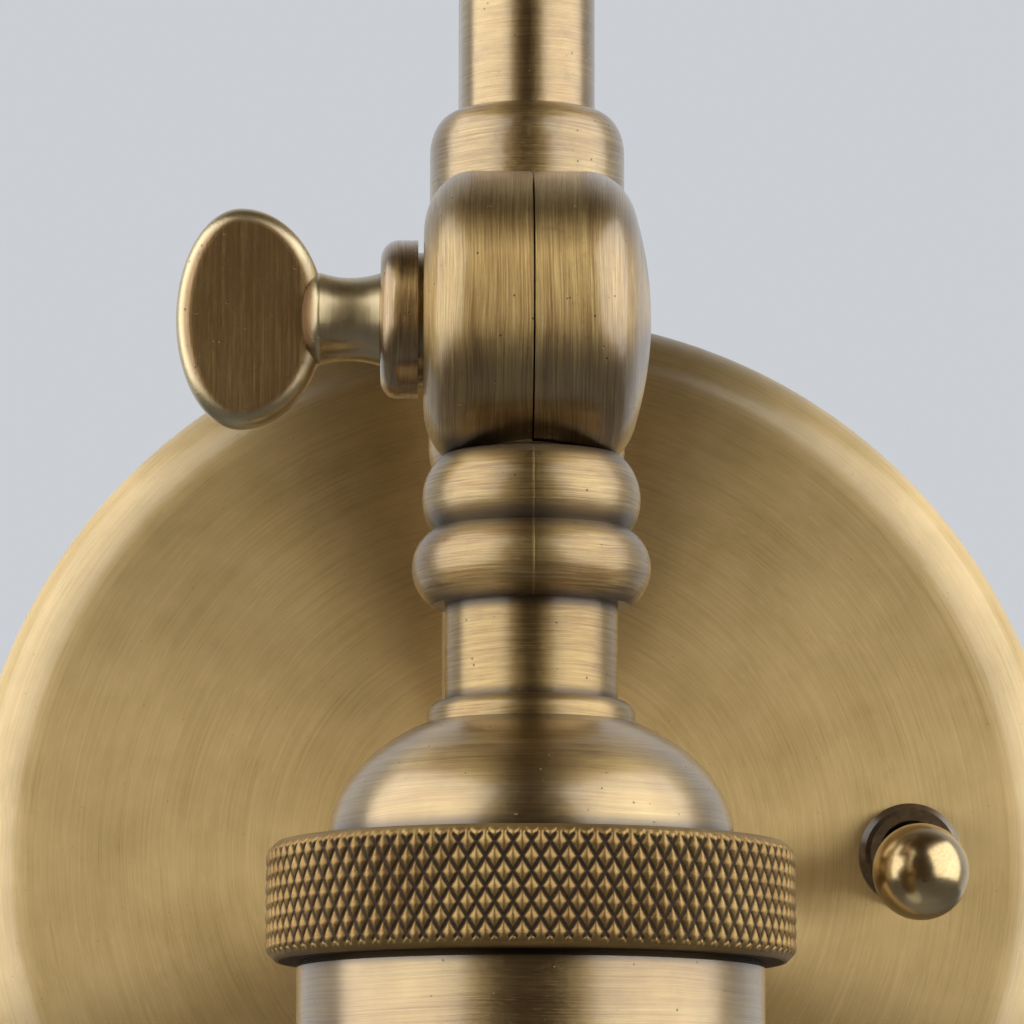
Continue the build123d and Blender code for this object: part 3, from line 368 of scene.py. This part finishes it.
# camera in millimetres and degrees, softboxes in metres and watts, and their aim in millimetres
CAMERA_PLACE = (-8.04, -481.49, -37.48)
CAMERA_YAW_PITCH_ROLL = (0.910, 8.439, 0.112)
CAMERA_LENS = 181.3
SOFTBOX_AIM = (0.0, -60.0, 30.0)
SOFTBOX_ELEVATION = 19
SOFTBOX_DISTANCE = 1.0
SOFTBOX_SIZE = (1.55, 1.4)
SOFTBOX_WATTS = 15.2


def camera():
    """The photograph's camera: near the lamp's axis, below the knuckle and tilted up."""
    yaw, pitch, roll = (math.radians(a) for a in CAMERA_YAW_PITCH_ROLL)
    forward = Vector((math.sin(yaw) * math.cos(pitch), math.cos(yaw) * math.cos(pitch), math.sin(pitch)))
    level = Vector((math.cos(yaw), -math.sin(yaw), 0.0))
    above = level.cross(forward)
    right = level * math.cos(roll) + above * math.sin(roll)
    up = above * math.cos(roll) - level * math.sin(roll)
    data = bpy.data.cameras.new("camera")
    data.lens = CAMERA_LENS
    data.sensor_width = 36.0
    data.clip_start = 0.02
    data.clip_end = 50.0
    data.dof.use_dof = False
    item = bpy.data.objects.new("camera", data)
    bpy.context.scene.collection.objects.link(item)
    turn = Matrix((right, up, -forward)).transposed().to_4x4()
    item.matrix_world = Matrix.Translation(Vector(CAMERA_PLACE) * MM) @ turn
    bpy.context.scene.camera = item


def softbox(name, azimuth):
    """Area lamp aimed at the head; azimuth is from the room's middle towards +X, in degrees."""
    a, e = math.radians(azimuth), math.radians(SOFTBOX_ELEVATION)
    way = Vector((math.sin(a) * math.cos(e), -math.cos(a) * math.cos(e), math.sin(e)))
    offset = way * SOFTBOX_DISTANCE
    data = bpy.data.lights.new(name, "AREA")
    data.shape = "RECTANGLE"
    data.size, data.size_y = SOFTBOX_SIZE
    data.energy = SOFTBOX_WATTS
    item = bpy.data.objects.new(name, data)
    bpy.context.scene.collection.objects.link(item)
    item.location = Vector(SOFTBOX_AIM) * MM + offset
    item.rotation_euler = offset.to_track_quat("Z", "Y").to_euler()


def world():
    """Pale grey surroundings, and a dark room on the camera's side, which is what brass mirrors."""
    item = bpy.data.worlds.new("studio")
    bpy.context.scene.world = item
    item.use_nodes = True
    tree = item.node_tree
    tree.nodes.clear()

    def blend(factor, a, b):
        node = tree.nodes.new("ShaderNodeMix")
        node.data_type = "RGBA"
        for value, socket in ((factor, node.inputs[0]), (a, node.inputs[6]), (b, node.inputs[7])):
            if isinstance(value, bpy.types.NodeSocket):
                tree.links.new(value, socket)
            else:
                socket.default_value = value
        return node.outputs[2]

    def fade(value, low, high):
        node = tree.nodes.new("ShaderNodeMapRange")
        node.interpolation_type = "SMOOTHSTEP"
        tree.links.new(value, node.inputs["Value"])
        node.inputs["From Min"].default_value = low
        node.inputs["From Max"].default_value = high
        return node.outputs[0]

    def calc(operation, a, b):
        node = tree.nodes.new("ShaderNodeMath")
        node.operation = operation
        tree.links.new(a, node.inputs[0])
        tree.links.new(b, node.inputs[1])
        return node.outputs[0]

    output = tree.nodes.new("ShaderNodeOutputWorld")
    background = tree.nodes.new("ShaderNodeBackground")
    tree.links.new(background.outputs[0], output.inputs[0])
    split = tree.nodes.new("ShaderNodeSeparateXYZ")
    tree.links.new(tree.nodes.new("ShaderNodeTexCoord").outputs["Generated"], split.inputs[0])
    rays = tree.nodes.new("ShaderNodeLightPath").outputs
    behind = fade(split.outputs[1], *BEHIND_FADE)
    mirrored = calc("MULTIPLY", rays["Is Glossy Ray"], behind)
    seen = calc("MAXIMUM", rays["Is Camera Ray"], calc("MAXIMUM", rays["Is Transmission Ray"], mirrored))
    room = blend(fade(split.outputs[1], *ROOM_FADE), ROOM_DARK, ROOM_LIGHT)
    tree.links.new(blend(seen, room, BACKDROP), background.inputs["Color"])
    background.inputs["Strength"].default_value = 1.0


def floor():
    """Plain pale floor well below the lamp, as pale as the backdrop where it is seen."""
    g = Graph("floor_pale")
    cloud = g.noise(g.place, 0.004, 3.0)
    rays = g.tree.nodes.new("ShaderNodeLightPath").outputs
    seen = g.math("MAXIMUM", rays["Is Camera Ray"], rays["Is Transmission Ray"])
    g.set(
        Emission_Color=BACKDROP, Emission_Strength=g.math("MULTIPLY", seen, BACKDROP_GLOW),
        Base_Color=g.mix(cloud, tint(0.60, 0.61, 0.63), tint(0.66, 0.67, 0.69)),
        Roughness=g.ease(g.noise(g.place, 0.05, 3.0), 0.3, 0.7, 0.55, 0.7),
    )
    mesh = bpy.data.meshes.new("floor")
    half, low = FLOOR_HALF, cad_box[0][2] - FLOOR_DROP
    corners = [(-half, -half, low), (half, -half, low), (half, half, low), (-half, half, low)]
    mesh.from_pydata(corners, [], [(0, 1, 2, 3)])
    mesh.materials.append(g.material)
    item = bpy.data.objects.new("floor", mesh)
    bpy.context.scene.collection.objects.link(item)


camera()
world()
floor()
softbox("softbox_left", -69)
softbox("softbox_right", 65)
bpy.context.scene.view_settings.view_transform = "Standard"


# ---- meshes -----------------------------------------------------------------------------------
def add_piece(name, points, faces, material, body):
    """New object from points in millimetres, riding on one body."""
    mesh = bpy.data.meshes.new(name)
    mesh.from_pydata([tuple(c * MM for c in p) for p in points], [], faces)
    work = bmesh.new()
    work.from_mesh(mesh)
    bmesh.ops.recalc_face_normals(work, faces=work.faces)
    work.to_mesh(mesh)
    work.free()
    mesh.materials.append(material)
    item = bpy.data.objects.new(name, mesh)
    bpy.context.scene.collection.objects.link(item)
    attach(item, body)
    return item


# ---- knurled ring -------------------------------------------------------------------------------
# diamonds round the rim, their height, the cuts' depth and roundness, the mesh's steps in each
# diamond, and the depths between which the patina begins and is full
KNURL_AROUND = 93
KNURL_STEP = 2.28
KNURL_DEPTH = 0.42
KNURL_PILLOW = 1.9
KNURL_CUTS = 10
KNURL_PATINA = (0.16, 0.31)
RING_CHAMFER = 0.8
RING_OVER_CUP = 0.9


def groove(phase):
    """1 in the middle of a knurling groove and 0 halfway to the next."""
    return abs(2.0 * (phase % 1.0) - 1.0)


def knurled_ring():
    """Round-topped diamond knurling across the whole rim, then a plain chamfer at each end."""
    low, top = ring_low.z, ring_high.z
    columns = KNURL_AROUND * KNURL_CUTS
    rows = round((top - low) / KNURL_STEP * KNURL_CUTS)
    inner_r = CUP_R - RING_OVER_CUP
    points, faces = [], []
    # knurled outside
    for j in range(rows + 1):
        z = low + (top - low) * j / rows
        cone = RING_R - RING_CHAMFER + min(z - low, top - z)
        for i in range(columns):
            p = (i + j) / KNURL_CUTS
            q = (i - j) / KNURL_CUTS
            cut = KNURL_DEPTH * max(groove(p), groove(q)) ** KNURL_PILLOW
            radius = min(RING_R - cut, cone)
            angle = 2 * math.pi * i / columns
            points.append((radius * math.cos(angle), HEAD[1] + radius * math.sin(angle), z))
    for j in range(rows):
        for i in range(columns):
            k = (i + 1) % columns
            a, b = j * columns + i, j * columns + k
            c, d = a + columns, b + columns
            if (i + j + 1) % KNURL_CUTS == 0:
                faces += [(a, b, c), (b, d, c)]
            else:
                faces += [(a, b, d), (a, d, c)]
    # plain inner wall and end faces
    start = len(points)
    for z in (low, top):
        for i in range(columns):
            angle = 2 * math.pi * i / columns
            points.append((inner_r * math.cos(angle), HEAD[1] + inner_r * math.sin(angle), z))
    last = rows * columns
    for i in range(columns):
        k = (i + 1) % columns
        faces.append((start + i, start + k, k, i))
        faces.append((last + i, last + k, start + columns + k, start + columns + i))
        faces.append((start + columns + i, start + columns + k, start + k, start + i))

    def valley(g):
        """Patina by the depth below the blank's outline, which is chamfered at both ends."""
        flat = g.vector("MULTIPLY", g.vector("SUBTRACT", g.place, HEAD), (1.0, 1.0, 0.0))
        z = g.split(g.place)[2]
        from_end = g.math("MINIMUM", g.math("SUBTRACT", z, low), g.math("SUBTRACT", top, z))
        outline = g.math("ADD", g.math("MINIMUM", from_end, RING_CHAMFER), RING_R - RING_CHAMFER)
        depth = g.math("SUBTRACT", outline, g.vector("LENGTH", flat))
        return g.ease(depth, *KNURL_PATINA, 0.0, 0.97)

    paint = brass(
        "knurl_brass", [about(HEAD, "Z")], valley,
        rough=0.48, streak=0.5, depth=0.004, pits=0.2, brown=1.1, gloss=0.0, coat=0.0,
    )
    piece = add_piece("knurled_ring_detail", points, faces, paint, "head")
    for face in piece.data.polygons[:2 * rows * columns]:
        face.use_smooth = True
    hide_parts("knurled_ring")


knurled_ring()


# ---- other finishes ---------------------------------------------------------------------------
def zinc():
    """Zinc plated steel, faintly clouded with yellow."""
    g = Graph("zinc_plate")
    cloud = g.noise(g.place, 0.5, 4.0)
    fine = g.noise(g.place, 9.0, 3.0)
    g.set(
        Base_Color=g.mix(g.ease(cloud, 0.35, 0.65), tint(0.50, 0.51, 0.50), tint(0.66, 0.65, 0.58)),
        Metallic=1.0, Roughness=g.ease(fine, 0.2, 0.8, 0.28, 0.46), Normal=g.bump(fine, 0.01, 0.6),
    )
    return g.material


def matt(name, dark, light, scale, roughness):
    """Moulded, fired or pressed material with a fine mottle between two colours and roughnesses."""
    g = Graph(name)
    cloud = g.noise(g.place, scale, 4.0)
    fine = g.noise(g.place, scale * 9, 3.0)
    g.set(
        Base_Color=g.mix(g.ease(cloud, 0.3, 0.7), tint(*dark), tint(*light)),
        Roughness=g.ease(fine, 0.2, 0.8, *roughness), Normal=g.bump(fine, 0.02, 0.6),
    )
    return g.material


def sleeving():
    """Braided cloth over the conductors: two sets of threads that cross."""
    g = Graph("braided_sleeve")
    x, _, z = g.split(g.place)
    slant = g.math("MULTIPLY", x, 1.6)
    left = g.math("SINE", g.math("MULTIPLY", g.math("ADD", z, slant), 9.0))
    right = g.math("SINE", g.math("MULTIPLY", g.math("SUBTRACT", z, slant), 9.0))
    weave = g.math("MAXIMUM", left, right)
    g.set(
        Base_Color=g.mix(g.ease(weave, 0.2, 1.0), tint(0.05, 0.03, 0.018), tint(0.22, 0.13, 0.075)),
        Roughness=0.8, Normal=g.bump(weave, 0.08, 0.8),
    )
    return g.material


def glass():
    """Clear blown glass with a faint uneven wall."""
    g = Graph("clear_glass")
    wave = g.noise(g.place, 0.06, 2.0)
    g.set(
        Base_Color=g.mix(wave, tint(0.97, 0.97, 0.96), tint(1.0, 0.99, 0.97)),
        Roughness=g.ease(g.noise(g.place, 0.4, 3.0), 0.3, 0.8, 0.0, 0.03),
        Transmission_Weight=1.0, IOR=1.45, Normal=g.bump(wave, 0.3, 0.3),
    )
    return g.material


def phosphor():
    """Yellow coat of the filaments."""
    g = Graph("filament_coat")
    grain = g.noise(g.place, 3.0, 3.0)
    g.set(
        Base_Color=g.mix(grain, tint(0.80, 0.56, 0.16), tint(0.93, 0.72, 0.27)),
        Roughness=0.6, Normal=g.bump(grain, 0.05, 0.6),
    )
    return g.material


# ---- finishes on the CAD nodes ------------------------------------------------------------------
CAST = {"rough": 0.42, "streak": 1.1, "depth": 0.05, "pits": 1.6, "gloss": 0.84}
POLISHED = {"rough": 0.22, "streak": 0.4, "depth": 0.004, "brown": 0.0}

# places on a knuckle, in millimetres from its centre: patina bands as (height, half width, strength),
# the spans where the brushing turns at the beads, the mould line starts and the collar begins
STEM_PATINA = ((-11.2, 1.5, 0.9), (-17.0, 1.7, 0.85), (-23.3, 0.9, 0.85))
TO_BEADS_Z = (-10.6, -11.8)
TO_MOULD_LINE_Z = (-10.9, -11.5)
TO_COLLAR_Y = (12.05, 12.30)

# places on a thumb screw: where the brushing turns, where the pale rim starts (rubbing and a painted
# highlight), and the paddle
TO_PADDLE_X = (-17.2, -18.6)
TO_RIM_X = (-16.6, -17.6)
PADDLE_X = -23.4
PADDLE_OUTER_REACH = 5.2
PADDLE_INNER_REACH = 6.8
PADDLE_HALF_HEIGHT = 9.0


def lift(centre, *spots):
    """Patina bands at heights given from a joint's axis."""
    return bands("Z", *[(centre[2] + z, half, strength) for z, half, strength in spots])


def stem_brass(name, centre):
    """Barrel brushed round the pivot, with neck and beads brushed round the upright axis."""
    to_beads = past("Z", *(centre[2] + z for z in TO_BEADS_Z))
    return brass(
        name, [about(centre, "X"), (to_beads, about(centre, "Z"))], lift(centre, *STEM_PATINA),
        ridge=mould_line(centre), coat=0.6, **CAST,
    )


def mould_line(centre):
    """Fine raised line left by the mould down the front and back of the two beads."""

    def measure(g):
        x, _, z = g.split(g.place)
        line = g.ease(g.math("ABSOLUTE", g.math("SUBTRACT", x, centre[0])), 0.08, 0.02)
        below = g.ease(z, *(centre[2] + start for start in TO_MOULD_LINE_Z))
        return g.math("MULTIPLY", line, below)

    return measure


def collar_brass(name, centre, tube_y):
    """Domed half brushed round the pivot, with its collar brushed round the tube."""
    way = math.copysign(1.0, tube_y - centre[1])
    tube = (0.0, tube_y, 0.0)
    to_collar = past("Y", *(centre[1] + y * way for y in TO_COLLAR_Y))
    return brass(name, [about(centre, "X"), (to_collar, about(tube, "Z"))], **CAST)


def thumb_brass(name, centre):
    """Stem brushed round its own axis and a paddle brushed up and down, with a pale rim that is partly
    rubbing and partly a painted highlight.
    """
    to_paddle = past("X", *TO_PADDLE_X)

    # pale rim: partly rubbing, partly a painted highlight; the stem is painted a little pale all over
    def rim(g):
        x, _, z = g.split(g.vector("SUBTRACT", g.place, centre))
        across = g.math("SUBTRACT", x, PADDLE_X)
        inner = g.math("GREATER_THAN", across, 0.0)
        more = g.math("MULTIPLY", inner, PADDLE_INNER_REACH - PADDLE_OUTER_REACH)
        reach = g.math("ADD", PADDLE_OUTER_REACH, more)
        rise = g.math("DIVIDE", z, PADDLE_HALF_HEIGHT)
        share = g.vector("LENGTH", g.join(g.math("DIVIDE", across, reach), rise, 0.0))
        flat = g.ease(share, 0.84, 0.93, 0.0, 0.55)
        return g.mix(g.ease(x, *TO_RIM_X), 0.4, flat, "FLOAT")

    return brass(
        name, [about(centre, "X"), (to_paddle, upright(centre))],
        rough=0.36, streak=0.6, brown=1.9, depth=0.014, gloss=0.4, wear_and_highlight=rim, coat=0.6,
    )


def tarnish_and_shade(g):
    """Patina in soft clouds all over a piece that is seldom touched; on the switch nut it is also painted
    shade, for the shadow round the ball.
    """
    return g.ease(g.noise(g.place, 1.2, 2.0), 0.2, 0.7, 0.55, 0.85)


finishes = {
    "plate_brass": brass(
        "plate_brass", [about(PLATE, "Y")],
        rough=0.45, streak=0.45, depth=0.008, pits=0.3, brown=-0.9, gloss=1.0, coat=0.7, light=BRASS_RICH,
    ),
    "tube_1_brass": brass("tube_1_brass", [about(ARM_1, "Z")]),
    "tube_2_brass": brass("tube_2_brass", [about(ARM_2, "Z")], streak=0.7),
    "hub_brass": brass("hub_brass", [about(ARM_1, "Z")]),
    "ball_brass": brass("ball_brass", [about(SWITCH, "Y")], pits=0.3, gloss=0.2, **POLISHED),
    # switch nut: painted dark all over, as tarnish and as painted shade round the switch ball
    "nut_brass": brass(
        "nut_brass", [about(SWITCH, "Y")], tarnish_and_shade,
        rough=0.45, streak=0.6, depth=0.010, pits=0.3, brown=1.5, gloss=0.4,
    ),
    "pipe_brass": brass(
        "pipe_brass", [about(HEAD, "Z")], lift(HEAD, (-23.2, 1.1, 0.85), (-30.9, 0.9, 0.75)),
        rough=0.42, coat=0.45, light=BRASS,
    ),
    "cap_brass": brass(
        "cap_brass", [about(HEAD, "Z")], lift(HEAD, (-32.7, 0.9, 0.8), (-42.2, 1.4, 0.8)), streak=0.65,
    ),
    "cup_brass": brass("cup_brass", [about(HEAD, "Z")], lift(HEAD, (-51.8, 0.9, 0.8)), streak=0.6),
    "washer_brass": brass("washer_brass", [about(HEAD, "X")], streak=1.2, brown=1.1),
    "elbow_washer_brass": brass("elbow_washer_brass", [about(ELBOW, "X")], streak=1.2, brown=1.1),
    "bright_brass": brass("bright_brass", [about(HEAD, "Z")], pits=0.0, gloss=0.3, **POLISHED),
    "head_stem": stem_brass("head_stem_brass", HEAD),
    "elbow_stem": stem_brass("elbow_stem_brass", ELBOW),
    "head_collar": collar_brass("head_collar_brass", HEAD, ARM_2[1]),
    "elbow_collar": collar_brass("elbow_collar_brass", ELBOW, ARM_2[1]),
    "head_thumb": thumb_brass("head_thumb_brass", HEAD),
    "elbow_thumb": thumb_brass("elbow_thumb_brass", ELBOW),
    "zinc": zinc(),
    "fibre": matt("pressed_fibre", (0.035, 0.026, 0.020), (0.075, 0.055, 0.042), 2.0, (0.6, 0.85)),
    "nylon": matt("moulded_nylon", (0.80, 0.79, 0.73), (0.88, 0.87, 0.82), 0.4, (0.35, 0.5)),
    "bakelite": matt("moulded_bakelite", (0.030, 0.017, 0.010), (0.065, 0.035, 0.018), 0.9, (0.18, 0.35)),
    "porcelain": matt("glazed_porcelain", (0.80, 0.78, 0.72), (0.88, 0.87, 0.83), 0.25, (0.08, 0.2)),
    "black_glass": matt("fused_glass", (0.015, 0.015, 0.018), (0.045, 0.045, 0.05), 1.0, (0.05, 0.15)),
    "sleeve": sleeving(),
    "glass": glass(),
    "filament": phosphor(),
}
painted = {
    "plate_brass": ["backplate"],
    "tube_1_brass": ["arm_1_tube"],
    "tube_2_brass": ["arm_2_tube", "arm_2_top_cap", "arm_2_bottom_cap"],
    "hub_brass": ["swivel_hub", "hub_plug"],
    "ball_brass": ["switch_dolly"],
    "nut_brass": ["switch_bush", "switch_nut"],
    "pipe_brass": ["neck_pipe", "cap_collar"],
    "cap_brass": ["socket_cap"],
    "cup_brass": ["socket_cup"],
    "washer_brass": ["head_clamp_washer"],
    "elbow_washer_brass": ["elbow_clamp_washer"],
    "bright_brass": ["screw_shell", "centre_contact", "terminal_screws", "bulb_cap"],
    "head_stem": ["head_stem_half"],
    "elbow_stem": ["elbow_stem_half"],
    "head_collar": ["head_collar_half"],
    "elbow_collar": ["elbow_collar_half"],
    "head_thumb": ["head_thumb_screw"],
    "elbow_thumb": ["elbow_thumb_screw"],
    "zinc": [
        "wall_bracket", "threaded_nipple", "bracket_lock_nut", "backplate_nut", "swivel_stop_pin",
        "hub_retaining_ring", "terminal_block_screws", "earth_screw", "arm_1_grub_screw",
        "arm_2_grub_screw", "swivel_snap_ring", "cap_lock_nut",
    ],
    "fibre": ["hub_friction_washer", "head_friction_disc", "elbow_friction_disc"],
    "nylon": ["terminal_block"],
    "bakelite": ["switch_body"],
    "porcelain": ["socket_insert"],
    "black_glass": ["bulb_contact"],
    "sleeve": ["arm_1_wires", "arm_2_wires", "head_wires"],
    "glass": ["bulb_glass", "bulb_stem"],
    "filament": ["bulb_filaments"],
}
for finish, names in painted.items():
    for name in names:
        slots = nodes[name].material_slots
        for index in range(len(slots)):
            slots[index].material = finishes[finish]
